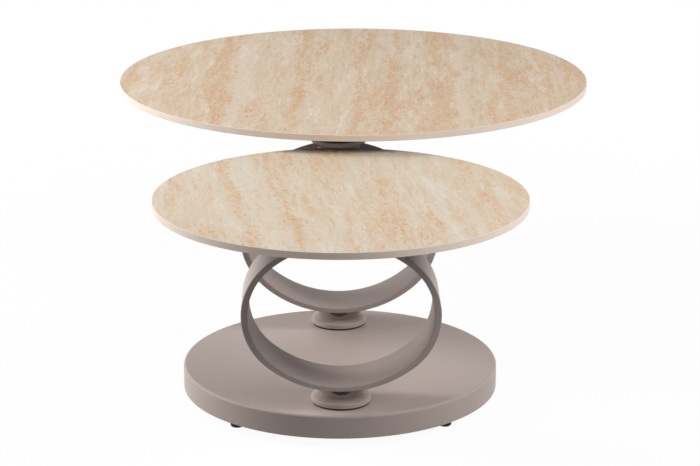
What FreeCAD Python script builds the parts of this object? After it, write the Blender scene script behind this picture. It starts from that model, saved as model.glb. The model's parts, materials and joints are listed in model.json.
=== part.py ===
"""Swivel coffee table: two round tops, each turning on the head of an oval hoop, over a round drum base.

Millimetres, +Z up, floor at z = 0. The origin is under the middle of the table's box as it stands with
the upper top swung out behind the base. The front of the table faces -Y.
"""
import FreeCAD, Part
import os
from math import cos, hypot, pi, radians, sin, tan

from FreeCAD import Vector

# ---- tops ----
upper_top_diameter = 800.0
lower_top_diameter = 554.0
board_thickness = 8.6
sheet_thickness = 0.8
edge_band_thickness = 1.2
edge_band_bevel = 0.4
pivot_reach = 276.0            # from the rear hoop's swivel to the middle of the upper top
swing_at_rest = 5.7            # degrees from straight back, towards the right

# ---- hoops ----
front_hoop_width = 296.0
front_hoop_height = 235.5
rear_hoop_width = 321.0
rear_hoop_height = 266.5
hoop_depth = 94.0
hoop_side_wall = 10.0
hoop_crown_wall = 7.5
hoop_arris = 0.8
hoop_lift = 31.0               # from the top of the base to the underside of a hoop

# ---- collars, turned from bar ----
flange_diameter = 90.0
neck_diameter = 68.0
flange_rim = 6.2
rim_rounding = 3.0
shoulder_rise = 7.0             # from the top of the rim to where the shoulder meets the neck
flange_inset = 20.5            # from the edge of the base to the edge of a flange
head_collar_height = 18.5
gasket_inset = 1.5             # from the edge of a flange to the edge of its gasket
gasket_thickness = 3.0
relief_radius = 28.5           # of the scoop cut through a base collar, under its hoop
relief_depth = 10.5            # from the underside of the hoop to the bottom of the scoop

# ---- base ----
base_diameter = 492.0
base_height = 36.0
base_sheet = 2.5
base_edge_rounding = 4.0
ballast_inset = 10.0           # from the wall of the shell to the edge of the ballast plate
ballast_thickness = 12.0
floor_panel_thickness = 2.0
spacer_wall = 5.0

# ---- feet ----
foot_height = 13.4
foot_top_diameter = 24.0
foot_tread_diameter = 20.0
foot_bevel = 1.5
foot_stud_depth = 6.0          # how far a stud is moulded into its foot
foot_inset = 23.0              # from the edge of the base to the middle of a foot
foot_angles = {
    "foot_front_left": 225.0,
    "foot_front_right": 315.0,
    "foot_rear_right": 45.0,
    "foot_rear_left": 135.0,
}

# ---- swivel ----
spindle_diameter = 20.0
spindle_shoulder = 7.0         # how far the shoulder stands out from the shaft
spindle_tail = 7.0             # how far the spindle reaches below the hub
tail_bevel = 1.0
tail_room = 4.0                # below the tail, in the head collar
bush_wall = 3.0
bush_flange = 5.0              # how far the bush's flange stands out from its wall
bush_flange_thickness = 2.0
hub_diameter = 82.0
hub_height = 16.0
hub_bevel = 1.5
clip_thickness = 1.2
clip_groove_depth = 1.0
clip_stand = 4.0               # how far the clip stands out from the spindle
clip_room = 3.0                # round the clip, in the head collar
clip_mouth_angle = 50.0
thrust_ring_inset = 1.0        # from the edge of the hub
thrust_ring_width = 6.0
thrust_ring_thickness = 3.0
plate_diameter = 190.0
plate_thickness = 5.0
plate_chamfer = 1.0

# ---- fasteners ----
collar_bolt_diameter = 8.0
collar_bolt_head_diameter = 13.0
collar_bolt_head_height = 8.0
collar_bolt_inset = 14.0       # from the side of the neck
collar_bolt_grip = 12.0        # how far a bolt reaches into its collar
collar_bolt_count = 3
hub_screw_diameter = 5.0
hub_screw_head_diameter = 8.5
hub_screw_head_height = 5.0
hub_screw_inset = 14.0         # from the edge of the hub
hub_screw_grip = 9.0
hub_screw_count = 3
plate_screw_diameter = 4.5
plate_screw_head_diameter = 9.0
plate_screw_inset = 15.0       # from the edge of the plate
plate_screw_grip = 6.5
plate_screw_count = 6
foot_stud_diameter = 6.0
foot_stud_grip = 9.0           # how far a stud reaches into the ballast plate
tapped_spare = 2.0             # depth left beyond a screw's end
socket_share = 0.45            # corner radius of a hexagon socket, as a share of the shank's diameter
socket_depth_share = 0.55      # its depth, as a share of the head's height

# ---- clearances ----
fit_gap = 0.15                 # radial, between pieces that are pressed or glued together
running_gap = 0.1              # radial, spindle in its bush
bearing_gap = 0.1              # between flat faces that turn on each other
screw_gap = 0.25               # radial, round a screw
panel_gap = 0.5                # floor panel inside the skirt
weld_gap = 0.05                # between a collar's saddle and its hoop

# ---- sizes that follow ----
hoop_offset = base_diameter / 2 - flange_inset - flange_diameter / 2
gasket_diameter = flange_diameter - 2 * gasket_inset
ballast_diameter = base_diameter - 2 * (base_sheet + ballast_inset)
foot_circle = base_diameter - 2 * foot_inset
bush_bore = spindle_diameter + 2 * running_gap
bush_outer_diameter = bush_bore + 2 * bush_wall
bush_flange_diameter = bush_outer_diameter + 2 * bush_flange
clip_diameter = spindle_diameter + 2 * clip_stand
thrust_ring_diameter = hub_diameter - 2 * thrust_ring_inset
collar_bolt_hole = collar_bolt_diameter + 2 * screw_gap
hub_screw_hole = hub_screw_diameter + 2 * screw_gap
plate_screw_hole = plate_screw_diameter + 2 * screw_gap
foot_stud_hole = foot_stud_diameter + 2 * screw_gap
collar_bolt_circle = neck_diameter - 2 * collar_bolt_inset
hub_screw_circle = hub_diameter - 2 * hub_screw_inset
plate_screw_circle = plate_diameter - 2 * plate_screw_inset

# ---- heights and places that follow ----
top_thickness = board_thickness + 2 * sheet_thickness
skirt_foot = foot_height
base_top = skirt_foot + base_height
ballast_top = base_top - base_sheet
ballast_foot = ballast_top - ballast_thickness
panel_top = skirt_foot + floor_panel_thickness
plate_lift = hub_height + thrust_ring_thickness + bearing_gap     # from a hub's foot to the plate above it

upper_middle_x = pivot_reach * sin(radians(swing_at_rest))
upper_middle_y = hoop_offset + pivot_reach * cos(radians(swing_at_rest))
upper_reach = upper_top_diameter / 2
lower_reach = lower_top_diameter / 2
base_reach = base_diameter / 2
left_side = min(-lower_reach, -base_reach, upper_middle_x - upper_reach)
right_side = max(lower_reach, base_reach, upper_middle_x + upper_reach)
front_side = min(-hoop_offset - lower_reach, -base_reach, upper_middle_y - upper_reach)
back_side = max(upper_middle_y + upper_reach, base_reach, lower_reach - hoop_offset)
base_x = -(left_side + right_side) / 2
base_y = -(front_side + back_side) / 2


def turned(*corners):
    """A solid turned about Z from (radius, height) corners; a third number rounds its corner."""
    points = [Vector(corner[0], 0, corner[1]) for corner in corners]
    starts, ends, arcs = [], [], []
    for index, point in enumerate(points):
        start = end = point
        if len(corners[index]) > 2:
            start, middle, end = rounded(points, index, corners[index][2])
            arcs.append(Part.Arc(start, middle, end).toShape())
        starts.append(start)
        ends.append(end)
    lines = [Part.makeLine(ends[index - 1], start) for index, start in enumerate(starts)]
    outline = Part.Wire(Part.__sortEdges__(lines + arcs))
    return Part.Face(outline).revolve(Vector(0, 0, 0), Vector(0, 0, 1), 360)


def rounded(points, index, radius):
    """The start, middle and end of the arc that touches both sides of one corner."""
    point = points[index]
    to_last = (points[index - 1] - point).normalize()
    to_next = (points[(index + 1) % len(points)] - point).normalize()
    half_angle = to_last.getAngle(to_next) / 2
    centre = point + (to_last + to_next).normalize() * (radius / sin(half_angle))
    middle = centre + (point - centre).normalize() * radius
    return point + to_last * (radius / tan(half_angle)), middle, point + to_next * (radius / tan(half_angle))


def disc(diameter, bottom, top):
    return Part.makeCylinder(diameter / 2, top - bottom, Vector(0, 0, bottom))


def ring(outer_diameter, inner_diameter, bottom, top):
    return disc(outer_diameter, bottom, top).cut(disc(inner_diameter, bottom, top))


def moved(shape, x, y, z=0.0):
    copy = shape.copy()
    copy.translate(Vector(x, y, z))
    return copy


def on_circle(count, circle_diameter, first_angle=90.0):
    """Places spaced evenly round a circle, as (x, y)."""
    step = 2 * pi / count
    turns = [radians(first_angle) + step * index for index in range(count)]
    return [(circle_diameter / 2 * cos(turn), circle_diameter / 2 * sin(turn)) for turn in turns]


def drilled(shape, places, diameter, bottom, top):
    """The shape with a straight hole at each place."""
    for x, y in places:
        shape = shape.cut(moved(disc(diameter, bottom, top), x, y))
    return shape


def countersunk(shape, places, shank_diameter, head_diameter, face):
    """The shape with a 90 degree countersink at each place, opening down at the given height."""
    depth = (head_diameter - shank_diameter) / 2
    sink = Part.makeCone(head_diameter / 2, shank_diameter / 2, depth, Vector(0, 0, face))
    for x, y in places:
        shape = shape.cut(moved(sink, x, y))
    return shape


def cap_screw(shank_diameter, head_diameter, head_height, seat, tip):
    """A socket screw that points up: its head hangs below the seat and its shank ends at the tip."""
    head_face = seat - head_height
    body = turned(
        (0, head_face),
        (head_diameter / 2, head_face),
        (head_diameter / 2, seat),
        (shank_diameter / 2, seat),
        (shank_diameter / 2, tip),
        (0, tip),
    )
    return body.cut(hexagon(shank_diameter * socket_share, head_face, head_height * socket_depth_share))


def hexagon(corner_radius, bottom, depth):
    corners = [Vector(x, y, bottom) for x, y in on_circle(6, 2 * corner_radius)]
    return Part.Face(Part.makePolygon(corners + corners[:1])).extrude(Vector(0, 0, depth))


def flat_screw(shank_diameter, head_diameter, face, tip):
    """A countersunk screw that points up, with its head flush at the face."""
    sink = (head_diameter - shank_diameter) / 2
    body = turned(
        (0, face),
        (head_diameter / 2, face),
        (shank_diameter / 2, face + sink),
        (shank_diameter / 2, tip - shank_diameter / 2),
        (0, tip),
    )
    return body.cut(hexagon(shank_diameter * socket_share, face, sink))


def group(shape, places):
    return Part.makeCompound([moved(shape, x, y) for x, y in places])


def save(shape, node, x=0.0, y=0.0):
    """Write one node, moved from its own middle to its place on the table."""
    moved(shape, base_x + x, base_y + y).exportStep("parts/%s.step" % node)


# ---------------------------------------------------------------- base
def foot_places():
    return {
        node: (foot_circle / 2 * cos(radians(angle)), foot_circle / 2 * sin(radians(angle)))
        for node, angle in foot_angles.items()
    }


def collar_bolt_places():
    """Every collar bolt, seen from the middle of the base."""
    circle = on_circle(collar_bolt_count, collar_bolt_circle)
    return [(x, y + side * hoop_offset) for side in (-1, 1) for x, y in circle]


def base_shell():
    inside = base_reach - base_sheet
    shell = turned(
        (0, base_top),
        (base_reach, base_top, base_edge_rounding),
        (base_reach, skirt_foot),
        (inside, skirt_foot),
        (inside, ballast_top),
        (0, ballast_top),
    )
    return drilled(shell, collar_bolt_places(), collar_bolt_hole, ballast_top, base_top)


def ballast_plate():
    plate = disc(ballast_diameter, ballast_foot, ballast_top)
    plate = drilled(plate, collar_bolt_places(), collar_bolt_hole, ballast_foot, ballast_top)
    return drilled(plate, foot_places().values(), foot_stud_hole, ballast_foot, ballast_top)


def floor_panel():
    panel = disc(base_diameter - 2 * (base_sheet + panel_gap), skirt_foot, panel_top)
    return drilled(panel, foot_places().values(), foot_stud_hole, skirt_foot, panel_top)


def foot():
    """A rubber foot: a tapered pad, moulded round the end of its stud."""
    hole = foot_stud_diameter / 2 + fit_gap
    return turned(
        (hole, foot_height),
        (foot_top_diameter / 2, foot_height),
        (foot_tread_diameter / 2, foot_bevel),
        (foot_tread_diameter / 2 - foot_bevel, 0),
        (0, 0),
        (0, foot_height - foot_stud_depth),
        (hole, foot_height - foot_stud_depth),
    )


def make_base():
    save(base_shell(), "base_shell")
    save(ballast_plate(), "ballast_plate")
    save(floor_panel(), "base_floor_panel")
    spacer = ring(foot_stud_hole + 2 * spacer_wall, foot_stud_hole, panel_top, ballast_foot)
    save(group(spacer, foot_places().values()), "panel_spacers")
    stud = disc(foot_stud_diameter, foot_height - foot_stud_depth + fit_gap, ballast_foot + foot_stud_grip)
    save(group(stud, foot_places().values()), "foot_studs")
    for node, (x, y) in foot_places().items():
        save(foot(), node, x, y)
    tip = base_top + gasket_thickness + collar_bolt_grip
    bolt = cap_screw(
        collar_bolt_diameter, collar_bolt_head_diameter, collar_bolt_head_height, ballast_foot, tip)
    save(group(bolt, collar_bolt_places()), "collar_bolts")


# ---------------------------------------------------------------- hoops and their collars
def oval(width, height, middle, depth):
    """A solid drum lying along Y, whose outline is an oval of four arcs, as a flat bar is rolled."""
    half_width, half_height = width / 2, height / 2
    diagonal = hypot(half_width, half_height)
    end_radius = (diagonal - half_width + half_height) / 2 * diagonal / half_width
    crown_radius = (diagonal + half_width - half_height) / 2 * diagonal / half_height
    end_centre = half_width - end_radius
    crown_centre = crown_radius - half_height
    share = end_radius / (crown_radius - end_radius)
    x = end_centre * (1 + share)
    z = crown_centre * share
    places = [(half_width, 0), (x, z), (0, half_height), (-x, z),
              (-half_width, 0), (-x, -z), (0, -half_height), (x, -z), (half_width, 0), (x, z)]
    corners = [Vector(across, depth / 2, middle + up) for across, up in places]
    arcs = [Part.Arc(*corners[first:first + 3]).toShape() for first in range(1, len(places) - 1, 2)]
    return Part.Face(Part.Wire(arcs)).extrude(Vector(0, -depth, 0))


def hoop(width, height, middle):
    inner_width = width - 2 * hoop_side_wall
    inner_height = height - 2 * hoop_crown_wall
    band = oval(width, height, middle, hoop_depth).cut(oval(inner_width, inner_height, middle, hoop_depth))
    rims = [edge for edge in band.Edges if edge.BoundBox.YLength < hoop_arris]
    return band.makeChamfer(hoop_arris, rims)


def saddle(width, height, middle):
    """What a collar is cut with, so that it seats on the outside of its hoop."""
    return oval(width + 2 * weld_gap, height + 2 * weld_gap, middle, 2 * hoop_depth)


def collar(face, end, towards):
    """A collar: its flange lies on the face, and a sloping shoulder leads to a neck that runs to the end."""
    flange = flange_diameter / 2
    neck = neck_diameter / 2
    rim = face + towards * flange_rim
    return turned(
        (0, face),
        (flange, face),
        (flange, rim, rim_rounding),
        (neck, rim + towards * shoulder_rise),
        (neck, end),
        (0, end),
    )


def relief():
    """The scoop through a base collar's neck, which leaves it welded to its hoop along both sides."""
    centre = base_top + hoop_lift - relief_depth + relief_radius
    return Part.makeCylinder(relief_radius, neck_diameter, Vector(0, -neck_diameter / 2, centre), Vector(0, 1, 0))


def base_collar(width, height, middle):
    foot_face = base_top + gasket_thickness
    body = collar(foot_face, middle, 1)
    body = body.cut(saddle(width, height, middle))
    body = body.cut(relief())
    places = on_circle(collar_bolt_count, collar_bolt_circle)
    return drilled(body, places, collar_bolt_hole, foot_face, foot_face + collar_bolt_grip + tapped_spare)


def head_collar(width, height, middle):
    head_face = middle + height / 2 + head_collar_height
    body = collar(head_face, middle, -1)
    body = body.cut(saddle(width, height, middle))
    recess = clip_diameter + 2 * clip_room
    body = body.cut(disc(recess, head_face - spindle_tail - tail_room, head_face))
    places = on_circle(hub_screw_count, hub_screw_circle)
    return drilled(body, places, hub_screw_hole, head_face - hub_screw_grip - tapped_spare, head_face)


def swivel_hub(foot_face):
    """The fixed half of the swivel: a cast drum with a bush seat and sunk screw heads."""
    head_face = foot_face + hub_height
    seat = bush_flange_diameter / 2 + fit_gap
    bore = bush_outer_diameter / 2 + fit_gap
    body = turned(
        (bore, foot_face),
        (hub_diameter / 2, foot_face),
        (hub_diameter / 2, head_face - hub_bevel),
        (hub_diameter / 2 - hub_bevel, head_face),
        (seat, head_face),
        (seat, head_face - bush_flange_thickness),
        (bore, head_face - bush_flange_thickness),
    )
    places = on_circle(hub_screw_count, hub_screw_circle)
    body = drilled(body, places, hub_screw_hole, foot_face, head_face)
    head_hole = hub_screw_head_diameter + 2 * screw_gap
    return drilled(body, places, head_hole, hub_screw_seat(foot_face), head_face)


def hub_screw_seat(foot_face):
    """Where the heads of the hub's screws sit, sunk just below its top face."""
    return foot_face + hub_height - hub_screw_head_height - 2 * screw_gap


def hub_screw_group(foot_face):
    """The screws that hold one hub down, with their heads sunk in it."""
    seat = hub_screw_seat(foot_face)
    shank = seat - foot_face + hub_screw_grip
    screw = cap_screw(hub_screw_diameter, hub_screw_head_diameter, hub_screw_head_height, 0, shank)
    screw.rotate(Vector(0, 0, 0), Vector(1, 0, 0), 180)
    screw.translate(Vector(0, 0, seat))
    return [moved(screw, x, y) for x, y in on_circle(hub_screw_count, hub_screw_circle)]


def hub_bush(foot_face):
    head_face = foot_face + hub_height
    return turned(
        (bush_bore / 2, foot_face),
        (bush_outer_diameter / 2, foot_face),
        (bush_outer_diameter / 2, head_face - bush_flange_thickness),
        (bush_flange_diameter / 2, head_face - bush_flange_thickness),
        (bush_flange_diameter / 2, head_face),
        (bush_bore / 2, head_face),
    )


def make_stand(side, width, height, y):
    """One hoop with its collars and the fixed half of its swivel; returns the hub's foot height."""
    middle = base_top + hoop_lift + height / 2
    hub_foot = middle + height / 2 + head_collar_height
    hub_head = hub_foot + hub_height
    gasket_top = base_top + gasket_thickness
    bolt_circle = on_circle(collar_bolt_count, collar_bolt_circle)
    gasket = drilled(
        disc(gasket_diameter, base_top, gasket_top), bolt_circle, collar_bolt_hole, base_top, gasket_top)
    thrust_ring_bore = thrust_ring_diameter - 2 * thrust_ring_width
    thrust = ring(thrust_ring_diameter, thrust_ring_bore, hub_head, hub_head + thrust_ring_thickness)
    save(gasket, side + "_base_gasket", 0, y)
    save(base_collar(width, height, middle), side + "_base_collar", 0, y)
    save(hoop(width, height, middle), side + "_hoop", 0, y)
    save(head_collar(width, height, middle), side + "_head_collar", 0, y)
    save(swivel_hub(hub_foot), side + "_swivel_hub", 0, y)
    save(hub_bush(hub_foot), side + "_hub_bush", 0, y)
    save(thrust, side + "_thrust_ring", 0, y)
    return hub_foot


# ---------------------------------------------------------------- tops and what turns with them
def spindle(hub_foot):
    """The turning shaft: a grooved tail, a shoulder on the bush, and an end set in the plate."""
    hub_head = hub_foot + hub_height
    plate_foot = hub_foot + plate_lift
    shaft = spindle_diameter / 2
    groove = shaft - clip_groove_depth
    groove_head = hub_foot - bearing_gap
    groove_foot = groove_head - clip_thickness - 2 * bearing_gap
    tail = hub_foot - spindle_tail
    return turned(
        (0, tail),
        (shaft - tail_bevel, tail),
        (shaft, tail + tail_bevel),
        (shaft, groove_foot),
        (groove, groove_foot),
        (groove, groove_head),
        (shaft, groove_head),
        (shaft, hub_head + bearing_gap),
        (shaft + spindle_shoulder, hub_head + bearing_gap),
        (shaft + spindle_shoulder, plate_foot),
        (shaft, plate_foot),
        (shaft, plate_foot + plate_thickness),
        (0, plate_foot + plate_thickness),
    )


def spindle_clip(hub_foot):
    """A spring clip that snaps into the spindle's groove and keeps the top from lifting off."""
    head = hub_foot - 2 * bearing_gap
    bore = spindle_diameter - 2 * clip_groove_depth + 2 * fit_gap
    clip = ring(clip_diameter, bore, head - clip_thickness, head)
    half_mouth = radians(clip_mouth_angle / 2)
    far = clip_diameter
    mouth = Part.makePolygon([
        Vector(0, 0, 0),
        Vector(far * cos(half_mouth), -far * sin(half_mouth), 0),
        Vector(far * cos(half_mouth), far * sin(half_mouth), 0),
        Vector(0, 0, 0),
    ])
    wedge = Part.Face(mouth).extrude(Vector(0, 0, clip_thickness))
    wedge.translate(Vector(0, 0, head - clip_thickness))
    return clip.cut(wedge)


def mounting_plate(foot):
    head = foot + plate_thickness
    plate = turned(
        (spindle_diameter / 2 + fit_gap, foot),
        (plate_diameter / 2 - plate_chamfer, foot),
        (plate_diameter / 2, foot + plate_chamfer),
        (plate_diameter / 2, head),
        (spindle_diameter / 2 + fit_gap, head),
    )
    places = on_circle(plate_screw_count, plate_screw_circle)
    plate = drilled(plate, places, plate_screw_hole, foot, head)
    return countersunk(plate, places, plate_screw_hole, plate_screw_head_diameter + 2 * screw_gap, foot)


def piloted(sheet, screws_x, screws_y, bottom, top):
    """A layer of the top with the pilot holes for the plate's screws."""
    places = [(x + screws_x, y + screws_y) for x, y in on_circle(plate_screw_count, plate_screw_circle)]
    return drilled(sheet, places, plate_screw_hole, bottom, top)


def edge_band(diameter, bottom, top):
    outside = diameter / 2
    inside = outside - edge_band_thickness
    return turned(
        (inside, bottom),
        (outside - edge_band_bevel, bottom),
        (outside, bottom + edge_band_bevel),
        (outside, top - edge_band_bevel),
        (outside - edge_band_bevel, top),
        (inside, top),
    )


def make_top(side, diameter, hub_foot, pivot, middle):
    """One top and all that turns with it, about the pivot; the middle is the top's own centre."""
    plate_foot = hub_foot + plate_lift
    plate_head = plate_foot + plate_thickness
    save(spindle(hub_foot), side + "_spindle", *pivot)
    save(spindle_clip(hub_foot), side + "_spindle_clip", *pivot)
    save(mounting_plate(plate_foot), side + "_mounting_plate", *pivot)
    pilot_end = plate_head + plate_screw_grip
    screw = flat_screw(plate_screw_diameter, plate_screw_head_diameter, plate_foot, pilot_end)
    places = on_circle(plate_screw_count, plate_screw_circle)
    save(group(screw, places), side + "_plate_screws", *pivot)

    inside = diameter - 2 * (edge_band_thickness + fit_gap)
    board_foot = plate_head + sheet_thickness
    board_head = board_foot + board_thickness
    screws_x, screws_y = pivot[0] - middle[0], pivot[1] - middle[1]
    backing = disc(inside, plate_head, board_foot)
    board = disc(inside, board_foot, board_head)
    save(piloted(backing, screws_x, screws_y, plate_head, board_foot), side + "_backing", *middle)
    save(piloted(board, screws_x, screws_y, board_foot, pilot_end), side + "_board", *middle)
    save(disc(inside, board_head, board_head + sheet_thickness), side + "_face", *middle)
    save(edge_band(diameter, plate_head, plate_head + top_thickness), side + "_edge_band", *middle)


os.makedirs("parts", exist_ok=True)
make_base()
front_pivot = (0.0, -hoop_offset)
rear_pivot = (0.0, hoop_offset)
front_hub_foot = make_stand("front", front_hoop_width, front_hoop_height, -hoop_offset)
rear_hub_foot = make_stand("rear", rear_hoop_width, rear_hoop_height, hoop_offset)
front_screws = [moved(screw, 0, -hoop_offset) for screw in hub_screw_group(front_hub_foot)]
rear_screws = [moved(screw, 0, hoop_offset) for screw in hub_screw_group(rear_hub_foot)]
save(Part.makeCompound(front_screws + rear_screws), "hub_screws")
make_top("lower_top", lower_top_diameter, front_hub_foot, front_pivot, front_pivot)
make_top("upper_top", upper_top_diameter, rear_hub_foot, rear_pivot, (upper_middle_x, upper_middle_y))

table_height = rear_hub_foot + plate_lift + plate_thickness + top_thickness
print("table height", round(table_height, 2))
print("base middle", round(base_x, 3), round(base_y, 3))
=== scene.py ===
"""Looks of the swivel coffee table: finishes, floor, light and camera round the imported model.

Metres, in the frame of the CAD model: +Z up, the front of the table faces -Y.
"""
import json
from math import cos, radians, sin

import bpy
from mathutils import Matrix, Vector


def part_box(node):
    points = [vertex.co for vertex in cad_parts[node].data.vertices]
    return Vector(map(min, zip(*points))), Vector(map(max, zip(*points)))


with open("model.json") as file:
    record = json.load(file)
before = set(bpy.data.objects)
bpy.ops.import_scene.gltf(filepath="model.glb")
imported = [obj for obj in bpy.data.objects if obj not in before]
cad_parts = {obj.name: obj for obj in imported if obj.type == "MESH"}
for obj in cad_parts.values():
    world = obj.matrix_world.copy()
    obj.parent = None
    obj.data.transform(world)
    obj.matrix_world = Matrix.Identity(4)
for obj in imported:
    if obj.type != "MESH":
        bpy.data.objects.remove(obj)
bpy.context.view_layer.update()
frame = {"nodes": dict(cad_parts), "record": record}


def middle_of(node_name):
    """The middle of a CAD node's box."""
    low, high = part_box(node_name)
    return (low + high) / 2


base_middle = middle_of("base_shell")


def srgb(red, green, blue):
    """A colour as a screen shows it, 0 to 255, turned into the linear one that a shader takes."""
    shown = [part / 255 for part in (red, green, blue)]
    linear = [part / 12.92 if part <= 0.04045 else ((part + 0.055) / 1.055) ** 2.4 for part in shown]
    return (*linear, 1.0)


def grey(level):
    return (level, level, level, 1.0)


# ---------------------------------------------------------------- building blocks of the finishes
noise_middle = 0.5                                  # what a noise is on average
mix_first, mix_second, mix_result = 6, 7, 2         # the sockets of a Mix node that hold colours


def node(tree, kind, settings=None, **inputs):
    """A shader node; an input is a value or the output of another node, and _ stands for a space."""
    made = tree.nodes.new(kind)
    for name, value in (settings or {}).items():
        setattr(made, name, value)
    for name, value in inputs.items():
        feed(tree, made.inputs[name.replace("_", " ")], value)
    return made


def feed(tree, socket, value):
    """Links an output to the socket, or sets the socket to a plain value."""
    if isinstance(value, bpy.types.NodeSocket):
        tree.links.new(value, socket)
    else:
        socket.default_value = value


def maths(tree, operation, first, second=0.0):
    made = tree.nodes.new("ShaderNodeMath")
    made.operation = operation
    feed(tree, made.inputs[0], first)
    feed(tree, made.inputs[1], second)
    return made.outputs[0]


def times(tree, first, second):
    return maths(tree, "MULTIPLY", first, second)


def summed(tree, first, *others):
    """All the values added up."""
    for other in others:
        first = maths(tree, "ADD", first, other)
    return first


def strongest(tree, first, *others):
    """The largest of the values."""
    for other in others:
        first = maths(tree, "MAXIMUM", first, other)
    return first


def swung(tree, noise, reach):
    """A noise as a swing to both sides of zero."""
    return times(tree, maths(tree, "SUBTRACT", noise, noise_middle), reach)


def between(tree, value, low, high, to_low=0.0, to_high=1.0):
    """The value eased from one range to another, and held at its ends."""
    made = node(tree, "ShaderNodeMapRange", {"interpolation_type": "SMOOTHSTEP"}, Value=value,
                From_Min=low, From_Max=high, To_Min=to_low, To_Max=to_high)
    return made.outputs["Result"]


def mixed(tree, share, first, second):
    """A share of the second colour over the first."""
    made = tree.nodes.new("ShaderNodeMix")
    made.data_type = "RGBA"
    feed(tree, made.inputs[0], share)
    feed(tree, made.inputs[mix_first], first)
    feed(tree, made.inputs[mix_second], second)
    return made.outputs[mix_result]


def shaded(tree, colour, level):
    """The colour made darker or lighter; a level of 1 leaves it as it is."""
    made = node(tree, "ShaderNodeVectorMath", {"operation": "SCALE"}, Scale=level)
    feed(tree, made.inputs[0], colour)
    return made.outputs[0]


def cloud(tree, place, scale, detail, roughness, distortion=0.0):
    """Noise with a scale of so many waves a metre."""
    made = node(tree, "ShaderNodeTexNoise", Vector=place, Scale=scale, Detail=detail,
                Roughness=roughness, Distortion=distortion)
    return made.outputs["Fac"]


def stretched(tree, place, across, along, up=1.0):
    """The place scaled along each axis, so that a pattern on it is drawn out."""
    return node(tree, "ShaderNodeMapping", Vector=place, Scale=(across, along, up)).outputs["Vector"]


def streaked(tree, place, across, along, detail, roughness=0.55, distortion=0.0):
    """Noise drawn out along the vein of the stone: so many waves a metre across it and along it."""
    return cloud(tree, stretched(tree, place, across, along), 1.0, detail, roughness, distortion)


def group(name, inputs, outputs):
    """An empty node group with named sockets; returns its tree, its input and its output node."""
    tree = bpy.data.node_groups.new(name, "ShaderNodeTree")
    for label, kind in inputs:
        tree.interface.new_socket(label, in_out="INPUT", socket_type="NodeSocket" + kind)
    for label, kind in outputs:
        tree.interface.new_socket(label, in_out="OUTPUT", socket_type="NodeSocket" + kind)
    return tree, tree.nodes.new("NodeGroupInput"), tree.nodes.new("NodeGroupOutput")


def placed(tree, effect, **inputs):
    """A shared effect placed in a material, with the values that this material gives it."""
    return node(tree, "ShaderNodeGroup", {"node_tree": effect}, **inputs)


# ---------------------------------------------------------------- shared effects
def wandering(tree, place):
    """The place pushed sideways by a broad, slow cloud, so that what is laid on it wanders."""
    drift_waves, drift_detail, drift_reach = 4.0, 1.5, (0.05, 0.06, 0.0)
    slow = stretched(tree, place, across=1.0, along=0.6)
    drift = node(tree, "ShaderNodeTexNoise", Vector=slow, Scale=drift_waves, Detail=drift_detail)
    push = node(tree, "ShaderNodeVectorMath", {"operation": "SUBTRACT"})
    feed(tree, push.inputs[0], drift.outputs["Color"])
    feed(tree, push.inputs[1], (noise_middle, noise_middle, noise_middle))
    pushed = node(tree, "ShaderNodeVectorMath", {"operation": "MULTIPLY_ADD"})
    feed(tree, pushed.inputs[0], push.outputs[0])
    feed(tree, pushed.inputs[1], drift_reach)
    feed(tree, pushed.inputs[2], place)
    return pushed.outputs[0]


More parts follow.
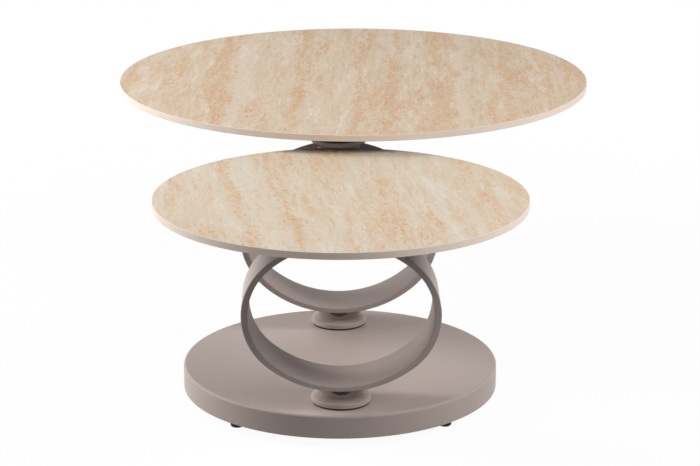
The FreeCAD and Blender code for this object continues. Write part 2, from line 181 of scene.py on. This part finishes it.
def travertine_effect():
    """Vein-cut travertine: streaks along Y, pale veins, tan and milky bands, rusty flecks and fine grain."""
    tree, given, out = group(
        "travertine",
        [("Place", "Vector"), ("Cream", "Color"), ("Milk", "Color"), ("Tan", "Color"), ("Rust", "Color"),
         ("Tan Band", "Float"), ("Milk Band", "Float")],
        [("Colour", "Color"), ("Height", "Float"), ("Dull", "Float")])
    tan_band, milk_band = given.outputs["Tan Band"], given.outputs["Milk Band"]

    place = wandering(tree, given.outputs["Place"])
    patches = streaked(tree, place, across=8.0, along=3.0, detail=3.0, roughness=0.5)
    streaks = streaked(tree, place, across=46.0, along=7.0, detail=7.0, roughness=0.70, distortion=0.15)
    threads = streaked(tree, place, across=150.0, along=22.0, detail=6.0, roughness=0.68, distortion=0.25)
    wisps = streaked(tree, place, across=24.0, along=4.0, detail=8.0, roughness=0.64, distortion=0.2)
    rusts = streaked(tree, place, across=30.0, along=3.4, detail=6.0, roughness=0.70, distortion=0.25)
    flecks = streaked(tree, place, across=230.0, along=90.0, detail=4.0, roughness=0.65)
    grains = streaked(tree, place, across=620.0, along=260.0, detail=3.0, roughness=0.6)
    ticks = streaked(tree, place, across=70.0, along=520.0, detail=3.0, roughness=0.6)

    # warmth draws the cream towards tan, and the milky bands take from it
    tan_band_warmth, milk_band_warmth = 0.50, -0.32
    warmth = summed(
        tree,
        between(tree, patches, 0.36, 0.66, to_low=0.06, to_high=0.18),
        between(tree, streaks, 0.36, 0.66, to_low=0.0, to_high=0.40),
        times(tree, tan_band, tan_band_warmth),
        times(tree, milk_band, milk_band_warmth),
        between(tree, threads, 0.38, 0.64, to_low=-0.24, to_high=0.38))
    colour = mixed(tree, between(tree, warmth, 0.0, 1.0), given.outputs["Cream"], given.outputs["Tan"])

    # milk: thin veins where the wisps cross their middle, clouds between the streaks, and the milky bands,
    # which have short ticks across them
    vein_width, vein_milk, cloud_milk, band_milk, tick_milk = 0.024, 0.75, 0.75, 0.20, 0.6
    from_vein = maths(tree, "ABSOLUTE", maths(tree, "SUBTRACT", wisps, noise_middle))
    veins = times(tree, between(tree, from_vein, 0.0, vein_width, to_low=vein_milk, to_high=0.0),
                  between(tree, threads, 0.40, 0.60))
    clouds = times(tree, between(tree, streaks, 0.38, 0.47, to_low=cloud_milk, to_high=0.0),
                   between(tree, threads, 0.42, 0.56))
    band_ticks = times(tree, between(tree, ticks, 0.50, 0.66), milk_band)
    milky = strongest(tree, veins, times(tree, milk_band, band_milk),
                      times(tree, band_ticks, tick_milk), clouds)
    colour = mixed(tree, milky, colour, given.outputs["Milk"])

    # rust: a wash along rusty lines and tan bands, and small flecks that gather there and where it is warm
    tan_band_rust, wash_rust, fleck_rust = 0.22, 0.32, 0.90
    rust_room = summed(tree, between(tree, rusts, 0.52, 0.68), times(tree, tan_band, tan_band_rust))
    wash = times(tree, rust_room, between(tree, threads, 0.42, 0.62, to_low=0.0, to_high=wash_rust))
    colour = mixed(tree, wash, colour, given.outputs["Rust"])
    fleck_room = summed(tree, between(tree, warmth, 0.2, 0.9, to_low=0.12, to_high=0.42), rust_room)
    fleck_share = times(tree, between(tree, flecks, 0.545, 0.60), maths(tree, "MINIMUM", fleck_room, 1.0))
    colour = mixed(tree, times(tree, fleck_share, fleck_rust), colour, given.outputs["Rust"])

    grain_height = 0.4              # against the depth of a fleck, which is 1
    grain_shade = between(tree, grains, 0.25, 0.75, to_low=0.93, to_high=1.06)
    feed(tree, out.inputs["Colour"], shaded(tree, colour, grain_shade))
    feed(tree, out.inputs["Height"], maths(tree, "SUBTRACT", times(tree, grains, grain_height), fleck_share))
    feed(tree, out.inputs["Dull"], between(tree, streaks, 0.3, 0.7))
    return tree


def band_effect():
    """One band of the stone: 1 between two places across it, soft or sharp at its sides, broken along it."""
    tree, given, out = group(
        "stone_band",
        [("Place", "Vector"), ("Left", "Float"), ("Right", "Float"),
         ("Left Soft", "Float"), ("Right Soft", "Float")],
        [("Share", "Float")])
    place, left, right = given.outputs["Place"], given.outputs["Left"], given.outputs["Right"]

    side_swing = 0.05               # how far the sides bend, and how far they are jagged
    bend = swung(tree, streaked(tree, place, across=2.0, along=9.0, detail=3.0), side_swing)
    jag = swung(tree, streaked(tree, place, across=14.0, along=110.0, detail=5.0, roughness=0.65), side_swing)
    across = summed(tree, bend, jag, node(tree, "ShaderNodeSeparateXYZ", Vector=place).outputs["X"])
    rise = between(tree, across, left, maths(tree, "ADD", left, given.outputs["Left Soft"]))
    fall = between(tree, across, maths(tree, "SUBTRACT", right, given.outputs["Right Soft"]), right,
                   to_low=1.0, to_high=0.0)
    breaks = streaked(tree, place, across=9.0, along=6.0, detail=5.0)
    broken = between(tree, breaks, 0.36, 0.50, to_low=0.30, to_high=1.0)
    feed(tree, out.inputs["Share"], times(tree, times(tree, rise, fall), broken))
    return tree


def mottle_effect():
    """Fine even mottling, as on powder coat, rubber or moulded plastic: colour, height and a dull mask."""
    tree, given, out = group(
        "fine_mottle",
        [("Place", "Vector"), ("Base", "Color"), ("Grain", "Float"), ("Contrast", "Float")],
        [("Colour", "Color"), ("Height", "Float"), ("Dull", "Float")])
    broad_waves, broad_contrast = 7.0, 0.08
    fine = cloud(tree, given.outputs["Place"], given.outputs["Grain"], detail=3.0, roughness=0.6)
    broad = cloud(tree, given.outputs["Place"], broad_waves, detail=3.0, roughness=0.5)
    level = summed(tree, swung(tree, fine, given.outputs["Contrast"]),
                   swung(tree, broad, broad_contrast), 1.0)
    feed(tree, out.inputs["Colour"], shaded(tree, given.outputs["Base"], level))
    feed(tree, out.inputs["Height"], fine)
    feed(tree, out.inputs["Dull"], broad)
    return tree


travertine = travertine_effect()
stone_band = band_effect()
fine_mottle = mottle_effect()


# ---------------------------------------------------------------- finishes
def finish_named(name):
    """A new material; returns it, its tree, its Principled shader and the object's place."""
    made = bpy.data.materials.new(name)
    made.use_nodes = True
    tree = made.node_tree
    shader = tree.nodes["Principled BSDF"]
    place = tree.nodes.new("ShaderNodeTexCoord").outputs["Object"]
    return made, tree, shader, place


def bump(tree, shader, height, depth):
    made = node(tree, "ShaderNodeBump", Height=height, Distance=depth, Strength=1.0)
    feed(tree, shader.inputs["Normal"], made.outputs["Normal"])


def travertine_finish(name, middle, turn, cream, milk, tan, rust, tan_bands, milk_bands):
    """The stone-look face, laid about the middle of its top and turned by some degrees.

    A band is two places across the top, measured from its middle, and how soft it is at each.
    """
    satin_low, satin_high, specular, depth = 0.46, 0.56, 0.35, 0.00008
    made, tree, shader, place = finish_named(name)
    laid = node(tree, "ShaderNodeMapping", {"vector_type": "TEXTURE"}, Vector=place,
                Location=(middle.x, middle.y, 0.0), Rotation=(0.0, 0.0, radians(turn))).outputs["Vector"]

    def banded(bands):
        """How far a place is within any of the bands."""
        shares = [placed(tree, stone_band, Place=laid, Left=left, Right=right, Left_Soft=left_soft,
                         Right_Soft=right_soft).outputs["Share"]
                  for left, right, left_soft, right_soft in bands]
        return strongest(tree, *shares)

    stone = placed(tree, travertine, Place=laid, Cream=cream, Milk=milk, Tan=tan, Rust=rust,
                   Tan_Band=banded(tan_bands), Milk_Band=banded(milk_bands))
    feed(tree, shader.inputs["Base Color"], stone.outputs["Colour"])
    rough = between(tree, stone.outputs["Dull"], 0.0, 1.0, to_low=satin_low, to_high=satin_high)
    feed(tree, shader.inputs["Roughness"], rough)
    shader.inputs["Specular IOR Level"].default_value = specular
    bump(tree, shader, stone.outputs["Height"], depth)
    return made


def mottled_finish(name, colour, grain, contrast, roughness, depth, metallic=0.0, specular=0.5):
    """An even finish with a fine grain, of so many waves a metre, and a slightly uneven gloss."""
    gloss_swing = 0.04
    made, tree, shader, place = finish_named(name)
    skin = placed(tree, fine_mottle, Place=place, Base=colour, Grain=grain, Contrast=contrast)
    feed(tree, shader.inputs["Base Color"], skin.outputs["Colour"])
    rough = between(tree, skin.outputs["Dull"], 0.3, 0.7,
                    to_low=roughness - gloss_swing, to_high=roughness + gloss_swing)
    feed(tree, shader.inputs["Roughness"], rough)
    shader.inputs["Metallic"].default_value = metallic
    shader.inputs["Specular IOR Level"].default_value = specular
    bump(tree, shader, skin.outputs["Height"], depth)
    return made


def turned_metal(name, colour, roughness):
    """Bright turned metal: fine rings left by the tool, one above the other along the axis."""
    ring_waves, gloss_swing = 2600.0, 0.06
    made, tree, shader, place = finish_named(name)
    ringed = stretched(tree, place, across=8.0, along=8.0, up=ring_waves)
    rings = cloud(tree, ringed, 1.0, detail=3.0, roughness=0.6)
    ring_shade = between(tree, rings, 0.25, 0.75, to_low=0.85, to_high=1.08)
    feed(tree, shader.inputs["Base Color"], shaded(tree, colour[:3], ring_shade))
    rough = between(tree, rings, 0.2, 0.8, to_low=roughness - gloss_swing, to_high=roughness + gloss_swing)
    feed(tree, shader.inputs["Roughness"], rough)
    shader.inputs["Metallic"].default_value = 1.0
    bump(tree, shader, rings, depth=0.00002)
    return made


# by the name of the material slot that the part's record gives each piece
finishes = {
    "edge_band": mottled_finish(
        "edge_band_satin", srgb(238, 221, 207), grain=900.0, contrast=0.03, roughness=0.42, depth=0.00002),
    "board_core": mottled_finish(
        "fibreboard", srgb(176, 148, 112), grain=700.0, contrast=0.30, roughness=0.85, depth=0.0001),
    "backing_sheet": mottled_finish(
        "backing_sheet", srgb(112, 100, 92), grain=1200.0, contrast=0.10, roughness=0.60, depth=0.00003),
    "taupe_paint": mottled_finish(
        "taupe_powder_coat", srgb(180, 165, 159), grain=1100.0, contrast=0.06, roughness=0.47, depth=0.00005,
        specular=0.37),
    "black_cast": mottled_finish(
        "black_satin_paint", srgb(36, 34, 34), grain=1000.0, contrast=0.10, roughness=0.45, depth=0.00005),
    "black_rubber": mottled_finish(
        "black_rubber", srgb(28, 27, 27), grain=1400.0, contrast=0.20, roughness=0.75, depth=0.00005),
    "dark_steel": mottled_finish(
        "raw_steel_plate", srgb(90, 88, 86), grain=260.0, contrast=0.20, roughness=0.55, depth=0.00003,
        metallic=1.0),
    "zinc_steel": mottled_finish(
        "zinc_plating", srgb(186, 186, 178), grain=500.0, contrast=0.08, roughness=0.35, depth=0.00002,
        metallic=1.0),
    "slide_plastic": mottled_finish(
        "slide_plastic", srgb(226, 223, 214), grain=800.0, contrast=0.04, roughness=0.38, depth=0.00002),
    "steel": turned_metal("turned_steel", srgb(196, 196, 198), roughness=0.28),
    "bronze": turned_metal("turned_bronze", srgb(190, 150, 96), roughness=0.36),
}

# the stone of each top: how it is turned, its colours and its bands
face_finishes = {
    "upper_top_face": travertine_finish(
        "travertine_upper", middle_of("upper_top_face"), turn=-2.0,
        cream=srgb(210, 191, 167), milk=srgb(222, 210, 196),
        tan=srgb(204, 174, 141), rust=srgb(200, 141, 94),
        tan_bands=[(-0.262, -0.205, 0.03, 0.02), (-0.108, -0.078, 0.01, 0.01),
                   (0.006, 0.022, 0.005, 0.005), (0.062, 0.080, 0.006, 0.004),
                   (0.118, 0.178, 0.03, 0.003), (0.150, 0.460, 0.50, 0.01),
                   (0.256, 0.285, 0.004, 0.02)],
        milk_bands=[(-0.206, -0.170, 0.01, 0.02), (0.178, 0.205, 0.003, 0.015)]),
    "lower_top_face": travertine_finish(
        "travertine_lower", middle_of("lower_top_face"), turn=7.5,
        cream=srgb(214, 200, 179), milk=srgb(223, 214, 203),
        tan=srgb(211, 184, 154), rust=srgb(207, 152, 106),
        tan_bands=[(-0.166, -0.146, 0.008, 0.003), (-0.096, -0.078, 0.008, 0.008),
                   (-0.030, 0.012, 0.03, 0.03), (0.205, 0.232, 0.01, 0.01)],
        milk_bands=[(-0.146, -0.108, 0.003, 0.008), (0.132, 0.152, 0.006, 0.006)]),
}

for part in frame["record"]["subparts"]:
    finish = face_finishes.get(part["node"]) or finishes[part["material_slot"]]
    for slot in frame["nodes"][part["node"]].material_slots:
        slot.material = finish


# ---------------------------------------------------------------- floor
def disc(name, radius, rim_points=96):
    """A flat round sheet about the origin."""
    mesh = bpy.data.meshes.new(name)
    turns = [radians(360.0 * step / rim_points) for step in range(rim_points)]
    rim = [(radius * cos(turn), radius * sin(turn), 0.0) for turn in turns]
    mesh.from_pydata(rim, [], [range(rim_points)])
    made = bpy.data.objects.new(name, mesh)
    bpy.context.scene.collection.objects.link(made)
    return made


def shown_white(tree):
    """1 for a ray that sees the background as plain white: straight, by a reflection or through glass."""
    path = tree.nodes.new("ShaderNodeLightPath").outputs
    return strongest(tree, path["Is Camera Ray"], path["Is Glossy Ray"], path["Is Transmission Ray"])


floor_shown = grey(0.95)        # the floor's colour to the eye
floor_thrown_back = grey(0.30)  # and in the light that it throws back on the table
glow_near = 0.95                # near the table, the share of the floor's white that is a glow
glow_from, glow_to = 0.7, 1.6   # the glow grows to all between these distances from the origin


def floor_finish():
    """Plain pale floor: white to the eye by a glow, but for the faint shadow that the glow leaves."""
    made = bpy.data.materials.new("pale_floor")
    made.use_nodes = True
    tree = made.node_tree
    tree.nodes.remove(tree.nodes["Principled BSDF"])
    seen = shown_white(tree)
    plain = node(tree, "ShaderNodeBsdfDiffuse", Color=mixed(tree, seen, floor_thrown_back, floor_shown))
    glow = node(tree, "ShaderNodeEmission", Color=grey(1.0), Strength=1.0)
    both = node(tree, "ShaderNodeMixShader")
    away = node(tree, "ShaderNodeVectorMath", {"operation": "LENGTH"})
    feed(tree, away.inputs[0], tree.nodes.new("ShaderNodeTexCoord").outputs["Object"])
    glow_share = between(tree, away.outputs["Value"], glow_from, glow_to, to_low=glow_near, to_high=1.0)
    feed(tree, both.inputs[0], times(tree, seen, glow_share))
    feed(tree, both.inputs[1], plain.outputs[0])
    feed(tree, both.inputs[2], glow.outputs[0])
    feed(tree, tree.nodes["Material Output"].inputs["Surface"], both.outputs[0])
    return made


floor = disc("floor", radius=14.0)
floor.data.materials.append(floor_finish())

# ---------------------------------------------------------------- light
room_strength = 0.03            # of the room's own light; the background itself shows at 1, plain white
world = bpy.data.worlds.new("studio")
bpy.context.scene.world = world
world.use_nodes = True
room = world.node_tree
room_light = room.nodes["Background"]
room_light.inputs["Color"].default_value = grey(1.0)
feed(room, room_light.inputs["Strength"],
     summed(room, times(room, shown_white(room), 1.0 - room_strength), room_strength))

lamp_width, lamp_height = 1.0, 0.9
aim_behind_base, aim_height = 0.1, 0.25
lamp_aim = Vector((base_middle.x, base_middle.y + aim_behind_base, aim_height))
lamp_reach = 2.8                # from the point aimed at to each lamp


def soft_box(name, azimuth, elevation, power, mirrored=True):
    """A soft box that faces the table, by its angles: azimuth 0 is the right, 90 the back.

    One that isn't mirrored doesn't show in the gloss of the tops, which would wash them out.
    """
    lamp = bpy.data.lights.new(name, "AREA")
    lamp.shape = "RECTANGLE"
    lamp.size = lamp_width
    lamp.size_y = lamp_height
    lamp.energy = power
    made = bpy.data.objects.new(name, lamp)
    turn, rise = radians(azimuth), radians(elevation)
    away = Vector((cos(turn) * cos(rise), sin(turn) * cos(rise), sin(rise)))
    made.location = lamp_aim + lamp_reach * away
    made.visible_glossy = mirrored
    made.rotation_euler = (-away).to_track_quat("-Z", "Y").to_euler()
    bpy.context.scene.collection.objects.link(made)


soft_box("left_high", azimuth=165.0, elevation=32.0, power=52.0, mirrored=False)
soft_box("left_low", azimuth=165.0, elevation=12.0, power=24.0, mirrored=False)
soft_box("left_front", azimuth=195.0, elevation=32.0, power=19.0)
soft_box("right_high", azimuth=-15.0, elevation=32.0, power=48.0, mirrored=False)
soft_box("right_front", azimuth=-50.0, elevation=38.0, power=16.0)

# ---------------------------------------------------------------- camera
frame_width_pixels = 700.0
focal_length_pixels = 2364.4
sensor_width = 36.0             # millimetres
camera_back = 3.5127            # from the middle of the base
camera_right = 0.0158
camera_height = 1.3269          # above the floor
camera_pitch = 16.93            # degrees below the horizon
camera_turn = -0.77             # degrees round the middle of the base, seen from above
view_depth = 60.0

lens = bpy.data.cameras.new("camera")
lens.sensor_width = sensor_width
lens.lens = sensor_width * focal_length_pixels / frame_width_pixels
lens.clip_end = view_depth
camera = bpy.data.objects.new("camera", lens)
turn = radians(camera_turn)
camera.location = (
    base_middle.x + camera_right * cos(turn) + camera_back * sin(turn),
    base_middle.y + camera_right * sin(turn) - camera_back * cos(turn),
    camera_height,
)
camera.rotation_euler = (radians(90.0 - camera_pitch), 0.0, turn)
bpy.context.scene.collection.objects.link(camera)
bpy.context.scene.camera = camera
bpy.context.scene.view_settings.view_transform = "Standard"
